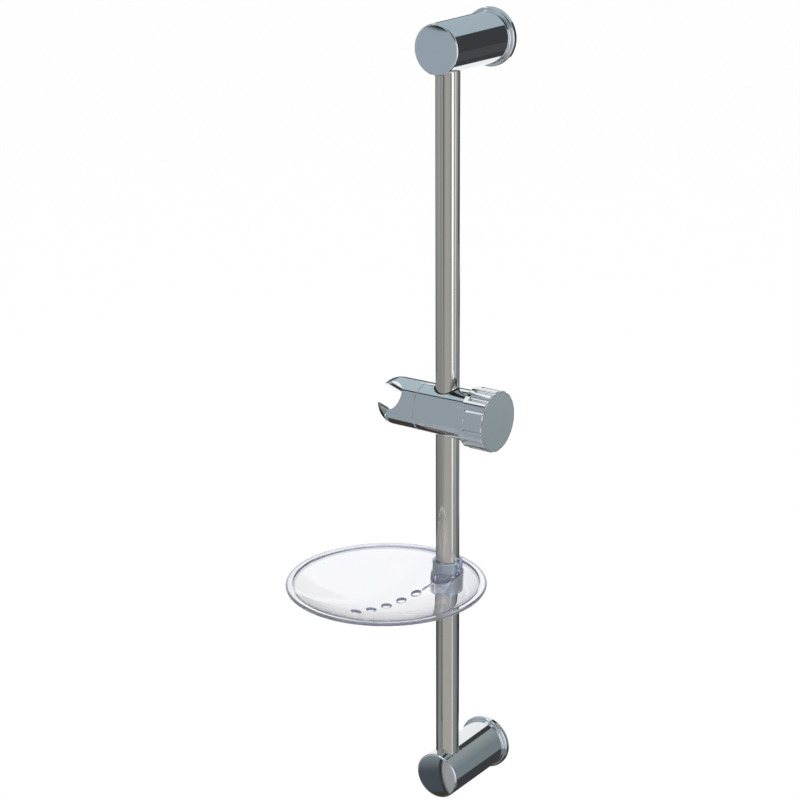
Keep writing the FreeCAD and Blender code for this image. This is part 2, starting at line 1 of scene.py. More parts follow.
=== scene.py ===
"""Shower slide rail: finishes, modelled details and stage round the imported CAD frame."""
import math

import bpy
from bpy.props import FloatProperty, FloatVectorProperty, IntProperty, PointerProperty
from mathutils import Matrix, Vector


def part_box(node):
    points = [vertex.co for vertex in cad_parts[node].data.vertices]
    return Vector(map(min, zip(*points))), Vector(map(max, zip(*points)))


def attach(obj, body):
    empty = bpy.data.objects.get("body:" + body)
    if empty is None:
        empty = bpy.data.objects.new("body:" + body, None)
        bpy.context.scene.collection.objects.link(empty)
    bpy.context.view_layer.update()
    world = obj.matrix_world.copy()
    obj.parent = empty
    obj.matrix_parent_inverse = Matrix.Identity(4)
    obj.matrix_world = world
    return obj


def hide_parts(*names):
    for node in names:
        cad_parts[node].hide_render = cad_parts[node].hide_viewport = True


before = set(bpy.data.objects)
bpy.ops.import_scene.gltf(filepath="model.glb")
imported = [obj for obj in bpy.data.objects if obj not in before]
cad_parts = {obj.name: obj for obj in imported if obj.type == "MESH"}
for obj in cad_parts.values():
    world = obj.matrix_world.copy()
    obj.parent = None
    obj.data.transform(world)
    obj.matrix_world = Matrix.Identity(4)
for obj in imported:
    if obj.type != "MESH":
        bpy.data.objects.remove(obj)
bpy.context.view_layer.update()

bl_info = {
    "name": "Shower slide rail",
    "version": (1, 0, 0),
    "blender": (4, 5, 0),
    "location": "3D View > Sidebar > Slide rail",
    "description": "Finishes, details and stage for a shower slide rail",
    "category": "Object",
}

# Points within NEAR of a place count as at it, and points within TOGETHER become one, in metres
MILLIMETRE = 0.001
NEAR = 0.01 * MILLIMETRE
TOGETHER = 0.004 * MILLIMETRE

# Places that come from the frame, in metres
RAIL_LOW, RAIL_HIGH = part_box("rail_tube")
RAIL_AXIS = (RAIL_LOW + RAIL_HIGH) / 2
UPPER_LOW, UPPER_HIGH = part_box("upper_bracket")
LOWER_LOW, LOWER_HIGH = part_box("lower_bracket")
UPPER_AXIS = (UPPER_LOW + UPPER_HIGH) / 2
LOWER_AXIS = (LOWER_LOW + LOWER_HIGH) / 2
BODY_LOW, BODY_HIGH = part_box("slider_body")
SLIDER_AXIS = Vector((0, RAIL_AXIS.y, (BODY_LOW.z + BODY_HIGH.z) / 2))
KNOB_LOW, KNOB_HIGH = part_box("control_knob")
KNOB_RADIUS = (KNOB_HIGH.z - KNOB_LOW.z) / 2
STUD_LOW, STUD_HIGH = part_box("knob_stud")


def colour_property(name, default, description):
    """A colour that the user may change in the sidebar."""
    return FloatVectorProperty(
        name=name, default=default, description=description, size=3, subtype="COLOR", min=0, max=1)


class SlideRailFinishes(bpy.types.PropertyGroup):
    """Colours of the object's finishes, and of the painted shade along the dish's rim."""

    chrome: colour_property("Chrome", (0.80, 0.83, 0.86), "Plating on brackets, slider, knob and holder")
    steel: colour_property("Satin steel", (0.62, 0.60, 0.56), "Tube")
    clear: colour_property("Clear plastic", (0.972, 0.974, 0.988), "Soap dish")
    sleeve: colour_property("Sleeve", (0.84, 0.91, 1.0), "Clear sleeve in the dish's collar")
    depth_tint: colour_property("Depth tint", (0.35, 0.39, 0.86), "What thick clear plastic absorbs towards")
    depth_density: FloatProperty(
        name="Depth density", default=13.0, min=0, description="Strength of the tint per metre of plastic")
    # Painted shade: colour of the lines along the dish's rim, which stand in for the edges' darker refraction
    rim_painted_shade: colour_property(
        "Rim edge", (0.50, 0.53, 0.62), "Light that the edges of the dish's rim pass on")
    white: colour_property("White plastic", (0.80, 0.80, 0.77), "Wall bases")
    grey: colour_property("Grey plastic", (0.30, 0.31, 0.32), "Liner rings, clamp shoe and plugs")
    screw: colour_property("Screw steel", (0.58, 0.58, 0.57), "Screws, stud and washer")
    brass: colour_property("Brass", (0.72, 0.52, 0.24), "Threaded insert")
    rubber: colour_property("Rubber", (0.025, 0.025, 0.027), "Friction ring")


def length_property(name, default, description):
    """A size in metres that the user may change in the sidebar."""
    return FloatProperty(
        name=name, default=default, description=description, unit="LENGTH", min=0, precision=5)


class SlideRailKnob(bpy.types.PropertyGroup):
    """Sizes of the fluted knob."""

    wall: length_property("Wall", 0.0026, "Skirt and face of the hollow knob")
    ring: length_property("Ring", 0.0040, "Plain ring behind the flutes")
    face_edge: length_property("Face edge", 0.0009, "Rounding of the face's edge")
    hub: length_property("Hub", 0.0100, "Radius of the hub round the stud")
    hub_gap: length_property("Hub gap", 0.0026, "Hub to the end of the slider body")
    stud: length_property("Stud", 0.0040, "Radius of the stud moulded into the hub")
    stud_head: length_property("Stud head", 0.0050, "Thickness of the stud's hexagon head")
    flutes: IntProperty(name="Flutes", default=16, min=3, description="Number of flutes")
    flute_depth: length_property("Flute depth", 0.0010, "Depth of a flute")
    flute_radius: length_property("Flute radius", 0.0042, "Hollow of a flute")
    soft_edge: length_property("Soft edge", 0.00022, "Rounding of the plated edges")


class SlideRailStage(bpy.types.PropertyGroup):
    """Camera, floor and lights."""

    azimuth: FloatProperty(
        name="Azimuth", default=math.radians(35.17), subtype="ANGLE", description="Camera round to the right")
    pitch: FloatProperty(
        name="Pitch", default=math.radians(18.68), subtype="ANGLE", description="Camera above the horizon")
    roll: FloatProperty(name="Roll", default=math.radians(-0.41), subtype="ANGLE", description="Camera tilt")
    distance: FloatProperty(
        name="Distance", default=1.56087, unit="LENGTH", description="Camera from the point it looks at")
    aside: FloatProperty(
        name="Aside", default=-0.03549, unit="LENGTH", description="Point looked at, across from the tube")
    height: FloatProperty(
        name="Height", default=0.02275, unit="LENGTH", description="Point looked at, above the rail's middle")
    lens: FloatProperty(name="Lens", default=94.367, description="Focal length in millimetres")
    floor: colour_property("Floor", (0.995, 0.995, 0.995), "Plain pale floor")
    floor_drop: FloatProperty(
        name="Floor drop", default=1.25, unit="LENGTH", description="Floor below the rail's middle")
    key_power: FloatProperty(
        name="Key light", default=9.0, description="Power of the soft key light in watts")
    fill_power: FloatProperty(
        name="Fill light", default=4.0, description="Power of the soft fill light in watts")


def finishes():
    return bpy.context.scene.slide_rail_finishes


def knob_sizes():
    return bpy.context.scene.slide_rail_knob


def stage_settings():
    return bpy.context.scene.slide_rail_stage


# Range that most values of a noise lie in
NOISE_LOW = 0.25
NOISE_HIGH = 0.75

# Samples of the normal that rounds off edges
EDGE_SAMPLES = 4


class Nodes:
    """A material's or world's node tree, with short ways to add and join nodes."""

    def __init__(self, owner):
        owner.use_nodes = True
        self.tree = owner.node_tree
        self.tree.nodes.clear()

    def add(self, kind, **settings):
        node = self.tree.nodes.new("ShaderNode" + kind)
        for key, value in settings.items():
            setattr(node, key, value)
        return node

    def join(self, source, target):
        self.tree.links.new(source, target)

    def noise(self, scale, stretch=(1, 1, 1), detail=3.0):
        """Noise on Object coordinates; stretch multiplies the pattern's frequency along each axis."""
        place = self.add("TexCoord")
        mapping = self.add("Mapping")
        mapping.inputs["Scale"].default_value = [scale * share for share in stretch]
        texture = self.add("TexNoise")
        texture.inputs["Scale"].default_value = 1.0
        texture.inputs["Detail"].default_value = detail
        self.join(place.outputs["Object"], mapping.inputs["Vector"])
        self.join(mapping.outputs["Vector"], texture.inputs["Vector"])
        return texture.outputs["Fac"]

    def spread(self, value, low, high):
        """Maps a noise value to a range."""
        node = self.add("MapRange")
        node.inputs["From Min"].default_value = NOISE_LOW
        node.inputs["From Max"].default_value = NOISE_HIGH
        node.inputs["To Min"].default_value = low
        node.inputs["To Max"].default_value = high
        self.join(value, node.inputs["Value"])
        return node.outputs["Result"]

    def tinted(self, value, dark, light):
        """Colour between two tints, by a value."""
        node = self.add("Mix", data_type="RGBA")
        node.inputs["A"].default_value = (*dark, 1)
        node.inputs["B"].default_value = (*light, 1)
        self.join(value, node.inputs["Factor"])
        return node.outputs["Result"]

    def paint(self, value, low, high, stops):
        """Colours of stops (place, colour), by a value that is 0 at the low place and 1 at the high place."""
        ramp = self.add("ValToRGB")
        elements = ramp.color_ramp.elements
        while len(elements) > 1:
            elements.remove(elements[0])
        for index, (stop, colour) in enumerate(stops):
            position = (stop - low) / (high - low)
            element = elements[0] if index == 0 else elements.new(position)
            element.position = position
            element.color = (*colour, 1)
        self.join(value, ramp.inputs["Fac"])
        return ramp.outputs["Color"]

    def bump(self, value, strength, depth, normal=None):
        node = self.add("Bump")
        node.inputs["Strength"].default_value = strength
        node.inputs["Distance"].default_value = depth
        self.join(value, node.inputs["Height"])
        if normal is not None:
            self.join(normal, node.inputs["Normal"])
        return node.outputs["Normal"]

    def worn_edges(self, radius):
        """Normal that rounds off sharp edges, as plating and polishing do."""
        node = self.add("Bevel", samples=EDGE_SAMPLES)
        node.inputs["Radius"].default_value = radius
        return node.outputs["Normal"]

    def surface(self, **constants):
        """Principled surface on the output; constants are set on its own sockets."""
        shader = self.add("BsdfPrincipled")
        for key, value in constants.items():
            shader.inputs[key.replace("_", " ")].default_value = value
        output = self.add("OutputMaterial")
        self.join(shader.outputs["BSDF"], output.inputs["Surface"])
        return shader, output


def shade(colour, factor):
    """A darker shade of a colour, by a factor below 1."""
    return tuple(channel * factor for channel in colour)


# Rounding of sharp edges in the shading of the plating, in metres
PLATED_EDGE = 0.0003

# The dish's rim, and the painted shade lines along its edges that stand in for their darker refraction: place
# inside the edge, half width and fade, in metres
RIM_WIDTH = 0.0048
INNER_LINE = 0.0008
OUTER_LINE = 0.0010
LINE_HALF = 0.0004
LINE_FADE = 0.0003


def chrome_material():
    """Bright plating on moulded plastic: clean, with faint smears and the slight waves of a moulding."""
    material = bpy.data.materials.new("chrome_plating")
    nodes = Nodes(material)
    shader, _ = nodes.surface(Metallic=1.0)
    colour = tuple(finishes().chrome)
    smears = nodes.noise(90.0, stretch=(1, 1, 0.4), detail=4.0)
    ripple = nodes.noise(160.0, detail=0.0)
    nodes.join(nodes.tinted(smears, shade(colour, 0.97), colour), shader.inputs["Base Color"])
    nodes.join(nodes.spread(smears, low=0.025, high=0.06), shader.inputs["Roughness"])
    edges = nodes.worn_edges(PLATED_EDGE)
    waves = nodes.bump(ripple, strength=0.15, depth=0.00004, normal=edges)
    nodes.join(waves, shader.inputs["Normal"])
    return material


def steel_material():
    """Satin stainless tube, brushed along its length."""
    material = bpy.data.materials.new("satin_steel")
    nodes = Nodes(material)
    shader, _ = nodes.surface(Metallic=1.0)
    colour = tuple(finishes().steel)
    grain = nodes.noise(2600.0, stretch=(1, 1, 0.012))
    streaks = nodes.noise(300.0, stretch=(1, 1, 0.02), detail=2.0)
    nodes.join(nodes.tinted(streaks, shade(colour, 0.93), colour), shader.inputs["Base Color"])
    nodes.join(nodes.spread(grain, low=0.06, high=0.11), shader.inputs["Roughness"])
    nodes.join(nodes.bump(grain, strength=0.10, depth=0.00003), shader.inputs["Normal"])
    return material


def painted_rim_shade_lines(nodes, dish):
    """Painted shade by the distance from the dish's axis: darker lines along the rim's two edges stand in for
    their darker refraction.
    """
    low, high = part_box(dish.name)
    centre = dish.matrix_world.inverted() @ ((low + high) / 2)
    outer = (high.x - low.x) / 2
    inner = outer - RIM_WIDTH
    place = nodes.add("TexCoord")
    offset = nodes.add("VectorMath", operation="SUBTRACT")
    offset.inputs[1].default_value = centre
    flat = nodes.add("VectorMath", operation="MULTIPLY")
    flat.inputs[1].default_value = (1, 1, 0)
    reach = nodes.add("VectorMath", operation="LENGTH")
    share = nodes.add("MapRange")
    share.inputs["From Min"].default_value = inner - RIM_WIDTH
    share.inputs["From Max"].default_value = outer + RIM_WIDTH
    nodes.join(place.outputs["Object"], offset.inputs[0])
    nodes.join(offset.outputs["Vector"], flat.inputs[0])
    nodes.join(flat.outputs["Vector"], reach.inputs[0])
    nodes.join(reach.outputs["Value"], share.inputs["Value"])
    # Colour of the painted shade lines
    edge = tuple(finishes().rim_painted_shade)
    plain = (1.0, 1.0, 1.0)
    stops = []
    for middle in (inner - INNER_LINE, outer - OUTER_LINE):
        stops += [(middle - LINE_HALF - LINE_FADE, plain), (middle - LINE_HALF, edge),
                  (middle + LINE_HALF, edge), (middle + LINE_HALF + LINE_FADE, plain)]
    return nodes.paint(share.outputs["Result"], inner - RIM_WIDTH, outer + RIM_WIDTH, stops)


def clear_material(name, colour, dish=None):
    """Clear moulded plastic with a faint violet tint where it is thick, and painted shade lines along a
    dish's rim that stand in for its edges' darker refraction.
    """
    material = bpy.data.materials.new(name)
    nodes = Nodes(material)
    shader, output = nodes.surface(Transmission_Weight=0.96, IOR=1.49)
    flow = nodes.noise(25.0, detail=2.0)
    tint = nodes.tinted(flow, shade(colour, 0.985), colour)
    # The painted shade lines along the rim darken the tint
    if dish is not None:
        product = nodes.add("Mix", data_type="RGBA", blend_type="MULTIPLY")
        product.inputs["Factor"].default_value = 1.0
        nodes.join(tint, product.inputs["A"])
        nodes.join(painted_rim_shade_lines(nodes, dish), product.inputs["B"])
        tint = product.outputs["Result"]
    nodes.join(tint, shader.inputs["Base Color"])
    nodes.join(nodes.spread(flow, low=0.0008, high=0.0034), shader.inputs["Roughness"])
    nodes.join(nodes.bump(flow, strength=0.05, depth=0.0001), shader.inputs["Normal"])
    depth = nodes.add("VolumeAbsorption")
    depth.inputs["Color"].default_value = (*finishes().depth_tint, 1)
    depth.inputs["Density"].default_value = finishes().depth_density
    nodes.join(depth.outputs["Volume"], output.inputs["Volume"])
    return material


def moulded_material(name, colour, roughness):
    """Moulded plastic or rubber with a fine spark-eroded grain."""
    material = bpy.data.materials.new(name)
    nodes = Nodes(material)
    shader, _ = nodes.surface(Metallic=0.0, IOR=1.5)
    cloud = nodes.noise(120.0)
    grain = nodes.noise(3500.0, detail=2.0)
    play = 0.06
    nodes.join(nodes.tinted(cloud, shade(colour, 0.9), colour), shader.inputs["Base Color"])
    nodes.join(nodes.spread(grain, roughness - play, roughness + play), shader.inputs["Roughness"])
    nodes.join(nodes.bump(grain, strength=0.2, depth=0.00005), shader.inputs["Normal"])
    return material


def turned_metal_material(name, colour, roughness):
    """Turned metal with fine tool marks."""
    material = bpy.data.materials.new(name)
    nodes = Nodes(material)
    shader, _ = nodes.surface(Metallic=1.0)
    marks = nodes.noise(1500.0, stretch=(1, 0.15, 0.15), detail=2.0)
    play = 0.08
    nodes.join(nodes.tinted(marks, shade(colour, 0.8), colour), shader.inputs["Base Color"])
    nodes.join(nodes.spread(marks, roughness - play, roughness + play), shader.inputs["Roughness"])
    nodes.join(nodes.bump(marks, strength=0.15, depth=0.00003), shader.inputs["Normal"])
    return material


def finish_nodes(material, names):
    """Gives CAD nodes a finish in their own material slots."""
    for name in names:
        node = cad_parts[name]
        node.data.materials.clear()
        node.data.materials.append(material)


class PieceOperator(bpy.types.Operator):
    """Base of the operators that finish or model a piece."""

    bl_options = {"REGISTER", "UNDO"}


SHARED = {}


def shared_material(name, make, *values):
    """The finish of that name, made once and shared by the pieces that have it."""
    if name not in SHARED:
        SHARED[name] = make(*values)
    return SHARED[name]


def chrome():
    return shared_material("chrome_plating", chrome_material)


def grey_plastic():
    return shared_material("grey_plastic", moulded_material, "grey_plastic", tuple(finishes().grey), 0.5)


def screw_steel():
    return shared_material("screw_steel", turned_metal_material, "screw_steel", tuple(finishes().screw), 0.3)


def deselect_all():
    """Operators act on all that is selected, so a new piece starts with nothing selected."""
    bpy.ops.object.select_all(action="DESELECT")


# Fineness of meshes: segments of the knob, steps of its roundings, and sides of round and hexagon parts
KNOB_SEGMENTS = 192
FACE_EDGE_STEPS = 6
SOFT_EDGE_STEPS = 3
ROUND_SIDES = 64
HEXAGON_SIDES = 6

# Angle in degrees over which an edge counts as sharp, and X of the normal over which a face is a flat
SHARP_EDGE = 30
FLAT_NORMAL = 0.999


def turn_on_lathe(name, axis, profile, segments):
    """Closed turned body round an axis along X; profile is a list of (x, radius) from cap to cap."""
    deselect_all()
    first_x, first_radius = profile[0]
    bpy.ops.mesh.primitive_circle_add(
        vertices=segments, radius=first_radius, fill_type="NGON",
        location=(first_x, axis.y, axis.z), rotation=(0, math.radians(90), 0))
    piece = bpy.context.object
    piece.name = name
    bpy.ops.object.transform_apply(location=True, rotation=True, scale=True)
    bpy.ops.object.mode_set(mode="EDIT")
    bpy.ops.mesh.select_all(action="SELECT")
    for (x, radius), (next_x, next_radius) in zip(profile, profile[1:]):
        bpy.ops.mesh.extrude_region_move(TRANSFORM_OT_translate={"value": (next_x - x, 0, 0)})
        share = next_radius / radius
        bpy.ops.transform.resize(value=(1, share, share), center_override=(next_x, axis.y, axis.z))
    bpy.ops.mesh.select_all(action="SELECT")
    bpy.ops.mesh.normals_make_consistent(inside=False)
    bpy.ops.object.mode_set(mode="OBJECT")
    return piece


def bevel_ring(piece, axis, x, radius, width, segments):
    """Rounds the edge of a turned body at one x and radius."""

    def on_ring(vertex):
        reach = math.hypot(vertex.co.y - axis.y, vertex.co.z - axis.z)
        return abs(vertex.co.x - x) < NEAR and abs(reach - radius) < NEAR

    bpy.context.view_layer.objects.active = piece
    bpy.ops.object.mode_set(mode="EDIT")
    bpy.ops.mesh.select_mode(type="EDGE")
    bpy.ops.mesh.select_all(action="DESELECT")
    bpy.ops.object.mode_set(mode="OBJECT")
    vertices = piece.data.vertices
    for edge in piece.data.edges:
        edge.select = all(on_ring(vertices[index]) for index in edge.vertices)
    bpy.ops.object.mode_set(mode="EDIT")
    bpy.ops.mesh.bevel(offset=width, segments=segments, affect="EDGES")
    bpy.ops.object.mode_set(mode="OBJECT")


def add_cutter(name, axis, x, length, reach, radius, count):
    """Ring of round cutters along X, spaced round an axis, with gaps at the top and bottom."""
    deselect_all()
    turn = 2 * math.pi / count
    place = Vector((x + length / 2, axis.y - reach * math.cos(turn / 2), axis.z + reach * math.sin(turn / 2)))
    bpy.ops.mesh.primitive_cylinder_add(
        vertices=ROUND_SIDES, radius=radius, depth=length, location=place,
        rotation=(0, math.radians(90), 0))
    cutter = bpy.context.object
    cutter.name = name
    bpy.ops.object.transform_apply(location=True, rotation=True, scale=True)
    bpy.ops.object.mode_set(mode="EDIT")
    bpy.ops.mesh.select_all(action="SELECT")
    bpy.ops.mesh.spin(dupli=True, steps=count - 1, angle=turn * (count - 1), center=axis, axis=(1, 0, 0))
    bpy.ops.mesh.select_all(action="SELECT")
    bpy.ops.mesh.normals_make_consistent(inside=False)
    bpy.ops.object.mode_set(mode="OBJECT")
    return cutter


def add_rod(name, axis, start, end, radius, sides):
    """Round or six-sided rod along X on an axis, with a corner at its top."""
    deselect_all()
    bpy.ops.mesh.primitive_cylinder_add(
        vertices=sides, radius=radius, depth=end - start, location=((start + end) / 2, axis.y, axis.z),
        rotation=(math.radians(90), 0, math.radians(90)))
    rod = bpy.context.object
    rod.name = name
    bpy.ops.object.transform_apply(location=True, rotation=True, scale=True)
    return rod


def cut_away(piece, cutter):
    """Cuts one mesh out of another and removes the cutter."""
    deselect_all()
    piece.select_set(True)
    bpy.context.view_layer.objects.active = piece
    cut = piece.modifiers.new("cut", "BOOLEAN")
    cut.operation = "DIFFERENCE"
    cut.solver = "EXACT"
    cut.object = cutter
    bpy.ops.object.modifier_apply(modifier=cut.name)
    bpy.data.objects.remove(cutter)


def inset_flat(piece, x, width):
    """Insets the flat at one x, so that its middle stays flat when the edges are rounded."""
    deselect_all()
    bpy.context.view_layer.objects.active = piece
    bpy.ops.object.mode_set(mode="EDIT")
    bpy.ops.mesh.select_mode(type="FACE")
    bpy.ops.mesh.select_all(action="DESELECT")
    bpy.ops.object.mode_set(mode="OBJECT")
    for face in piece.data.polygons:
        face.select = face.normal.x > FLAT_NORMAL and abs(face.center.x - x) < NEAR
    bpy.ops.object.mode_set(mode="EDIT")
    bpy.ops.mesh.inset(thickness=width, depth=0)
    bpy.ops.object.mode_set(mode="OBJECT")


def soften_edges(piece, width, segments, sharp):
    """Rounds every edge sharper than an angle."""
    deselect_all()
    piece.select_set(True)
    bpy.context.view_layer.objects.active = piece
    bevel = piece.modifiers.new("soften", "BEVEL")
    bevel.width = width
    bevel.segments = segments
    bevel.limit_method = "ANGLE"
    bevel.angle_limit = math.radians(sharp)
    bevel.use_clamp_overlap = False
    bpy.ops.object.modifier_apply(modifier=bevel.name)


def settle_points(piece, x):
    """Brings points that the rounding pushed past the flat at one x back to it, and joins those that meet."""
    bpy.ops.object.mode_set(mode="EDIT")
    bpy.ops.mesh.select_mode(type="VERT")
    bpy.ops.mesh.select_all(action="DESELECT")
    bpy.ops.object.mode_set(mode="OBJECT")
    for vertex in piece.data.vertices:
        vertex.select = vertex.co.x > x
    bpy.ops.object.mode_set(mode="EDIT")
    bpy.ops.transform.resize(value=(0, 1, 1), center_override=(x, 0, 0))
    bpy.ops.mesh.select_all(action="SELECT")
    bpy.ops.mesh.remove_doubles(threshold=TOGETHER)
    bpy.ops.mesh.dissolve_degenerate(threshold=TOGETHER)
    bpy.ops.object.mode_set(mode="OBJECT")


def shade_piece(piece):
    """Shades the faces smooth and the flats flat."""
    bpy.ops.object.shade_smooth()
    weights = piece.modifiers.new("weights", "WEIGHTED_NORMAL")
    bpy.ops.object.modifier_apply(modifier=weights.name)


class SLIDERAIL_OT_tube(PieceOperator):
    """Finish the satin tube and the plugs in its ends"""

    bl_idname = "slide_rail.tube"
    bl_label = "Tube"

    def execute(self, context):
        finish_nodes(steel_material(), ["rail_tube"])
        finish_nodes(grey_plastic(), ["upper_tube_plug", "lower_tube_plug"])
        return {"FINISHED"}


class SLIDERAIL_OT_brackets(PieceOperator):
    """Finish the chromed brackets, their wall bases and locking screws"""

    bl_idname = "slide_rail.brackets"
    bl_label = "Brackets"

    def execute(self, context):
        finish_nodes(chrome(), ["upper_bracket", "lower_bracket"])
        white = moulded_material("white_plastic", tuple(finishes().white), 0.45)
        finish_nodes(white, ["upper_wall_base", "lower_wall_base"])
        finish_nodes(screw_steel(), ["bracket_grub_screws"])
        return {"FINISHED"}


class SLIDERAIL_OT_slider(PieceOperator):
    """Finish the chromed slider body and the clamp inside it"""

    bl_idname = "slide_rail.slider"
    bl_label = "Slider"

    def execute(self, context):
        finish_nodes(chrome(), ["slider_body"])
        finish_nodes(grey_plastic(), ["upper_liner_ring", "lower_liner_ring", "clamp_shoe"])
        brass = turned_metal_material("insert_brass", tuple(finishes().brass), 0.3)
        finish_nodes(brass, ["threaded_insert"])
        return {"FINISHED"}


class SLIDERAIL_OT_knob(PieceOperator):
    """Model the fluted knob with softened edges and finish its stud"""

    bl_idname = "slide_rail.knob"
    bl_label = "Knob"

    def execute(self, context):
        sizes = knob_sizes()
        back, face = KNOB_LOW.x, KNOB_HIGH.x
        floor = face - sizes.wall
        skirt = KNOB_RADIUS - sizes.flute_depth - sizes.wall
        profile = [
            (BODY_HIGH.x + sizes.hub_gap, sizes.hub), (floor, sizes.hub), (floor, skirt),
            (back, skirt), (back, KNOB_RADIUS), (face, KNOB_RADIUS)]
        knob = turn_on_lathe("fluted_knob", SLIDER_AXIS, profile, KNOB_SEGMENTS)
        bevel_ring(knob, SLIDER_AXIS, face, KNOB_RADIUS, sizes.face_edge, FACE_EDGE_STEPS)
        start = back + sizes.ring
        length = face - start + sizes.wall
        reach = KNOB_RADIUS - sizes.flute_depth + sizes.flute_radius
        cut_away(knob, add_cutter(
            "flute_cutter", SLIDER_AXIS, start, length, reach, sizes.flute_radius, sizes.flutes))
        inset_flat(knob, face, sizes.face_edge)
        soften_edges(knob, sizes.soft_edge, SOFT_EDGE_STEPS, SHARP_EDGE)
        settle_points(knob, face)
        head = STUD_HIGH.x - sizes.stud_head
        corner = (STUD_HIGH.z - STUD_LOW.z) / 2
        cut_away(knob, add_rod(
            "stud_seat", SLIDER_AXIS, BODY_HIGH.x, head + sizes.wall, sizes.stud, ROUND_SIDES))
        cut_away(knob, add_rod("stud_head_seat", SLIDER_AXIS, head, STUD_HIGH.x, corner, HEXAGON_SIDES))
        shade_piece(knob)
        knob.data.materials.append(chrome())
        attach(knob, "knob")
        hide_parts("control_knob")
        finish_nodes(screw_steel(), ["knob_stud"])
        return {"FINISHED"}


class SLIDERAIL_OT_holder(PieceOperator):
    """Finish the handset holder and its pivot"""

    bl_idname = "slide_rail.holder"
    bl_label = "Handset holder"

    def execute(self, context):
        finish_nodes(chrome(), ["handset_holder"])
        finish_nodes(screw_steel(), ["holder_pivot_screw", "holder_spring_washer"])
        rubber = moulded_material("black_rubber", tuple(finishes().rubber), 0.7)
        finish_nodes(rubber, ["holder_friction_ring"])
        return {"FINISHED"}


class SLIDERAIL_OT_dish(PieceOperator):
    """Finish the clear soap dish and its sleeve"""

    bl_idname = "slide_rail.dish"
    bl_label = "Soap dish"

    # Finish the clear soap dish, with painted shade lines along its rim, and its sleeve
    def execute(self, context):
        # The dish's material carries the painted shade lines along its rim
        clear = clear_material("clear_plastic", tuple(finishes().clear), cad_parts["soap_dish"])
        finish_nodes(clear, ["soap_dish"])
        blue = clear_material("blue_clear_plastic", tuple(finishes().sleeve))
        finish_nodes(blue, ["dish_bush"])
        return {"FINISHED"}


# Card colours, as the light that they send back
WHITE = (1.0, 1.0, 1.0)
SKY = (0.42, 0.505, 0.545)
SLIDER_SKY = (0.49, 0.58, 0.62)
BLUE_GREY = (0.36, 0.42, 0.47)
BODY_GREY = (0.345, 0.385, 0.415)
NEUTRAL_GREY = (0.32, 0.365, 0.38)
MID_GREY = (0.20, 0.24, 0.25)
PALE_GREY = (0.315, 0.35, 0.35)
FACE_LOW_GREY = (0.29, 0.33, 0.335)
SLATE = (0.072, 0.083, 0.097)
COAL = (0.050, 0.052, 0.056)
SOOT = (0.070, 0.074, 0.079)
DARK = (0.022, 0.025, 0.028)
BROWN = (0.055, 0.045, 0.04)
OLIVE = (0.05, 0.048, 0.034)
LENS_GREY = (0.37, 0.37, 0.36)


def grey(level, warmth=0.0):
    """Grey of a level, turned a little to red and away from blue by its warmth."""
    return (level * (1 + warmth), level, level * (1 - warmth))


# Panels of the surround: start and end in degrees from the front to the right, and colour
LOWER_PANELS = (
    (-180, -88, grey(0.02)), (-88, -40, grey(0.25, -0.03)), (-40, -25, grey(0.19, -0.03)),
    (-25, -12, grey(0.38)), (-12, 72, grey(0.58)), (72, 77, grey(0.60)), (77, 88, grey(1.0, -0.06)),
    (88, 120, grey(0.38, -0.08)), (120, 142, grey(0.27, -0.08)), (142, 180, grey(0.02, 0.1)))
UPPER_PANELS = (
    (-180, -118, grey(0.12)), (-118, -95, grey(0.36, -0.04)), (-95, -60, grey(0.47, -0.04)),
    (-60, -12, grey(0.53, -0.04)), (-12, 1, grey(0.20, -0.04)), (1, 12, grey(0.47)),
    (12, 52, grey(0.56)), (52, 64, grey(0.42)), (64, 72, grey(0.50)), (72, 88.5, grey(2.0, -0.03)),
    (88.5, 104, grey(0.53, -0.05)), (104, 117, grey(1.1, -0.05)), (117, 128, grey(0.50, -0.05)),
    (128, 152, grey(0.43, -0.02)), (152, 180, grey(0.36, -0.02)))

# Heights at which the lower and the upper panels are plain; in between, one set fades into the other
LOWER_PANEL_HEIGHT = -0.78
UPPER_PANEL_HEIGHT = -0.12

# Sectors of the brackets' ring cards: start and end in degrees from the right to the top, and colour
UPPER_SECTORS = (
    (-180, -164, DARK), (-164, -87, WHITE), (-87, -60, COAL), (-60, -22, SOOT), (-22, 49, COAL),
    (49, 164, SKY), (164, 180, DARK))
LOWER_SECTORS = (
    (-180, -135, WHITE), (-135, -32, COAL), (-32, 15, MID_GREY), (60, 77, PALE_GREY), (77, 99, COAL),
    (99, 180, WHITE))

# Sectors of the slider's and the knob's ring cards: degrees from the front to the top, and colour
SLIDER_SECTORS = (
    (-180, -80, BROWN), (-80, 73.5, BODY_GREY), (73.5, 79, DARK), (79, 166, SLIDER_SKY),
    (166, 180, BROWN))
KNOB_SECTORS = (
    (-180, -172, WHITE), (-172, -80, BROWN), (-80, 62, BODY_GREY), (62, 67, DARK), (67, 180, WHITE))

# Bands of the cards that flat faces mirror: start and end in metres up from the middle, and colour
UPPER_DISC_BANDS = ((-0.04, 0.0163, BLUE_GREY), (0.0163, 0.04, DARK))
LOWER_DISC_BANDS = ((-0.045, -0.0136, OLIVE), (-0.0136, 0.005, SLATE), (0.025, 0.045, NEUTRAL_GREY))
KNOB_FACE_BANDS = ((-0.05, -0.03, FACE_LOW_GREY), (0.02, 0.05, NEUTRAL_GREY))

# Turn of the upper disc card's bands, in degrees
UPPER_DISC_TURN = 15

# Two rounds before the lower disc card, which show as a lens with a dark edge: place, radii, gap in metres
LENS_ASIDE = 0.0442
LENS_RISE = 0.0063
LENS_EDGE_RADIUS = 0.0417
LENS_RADIUS = 0.0391
LENS_GAP = 0.002

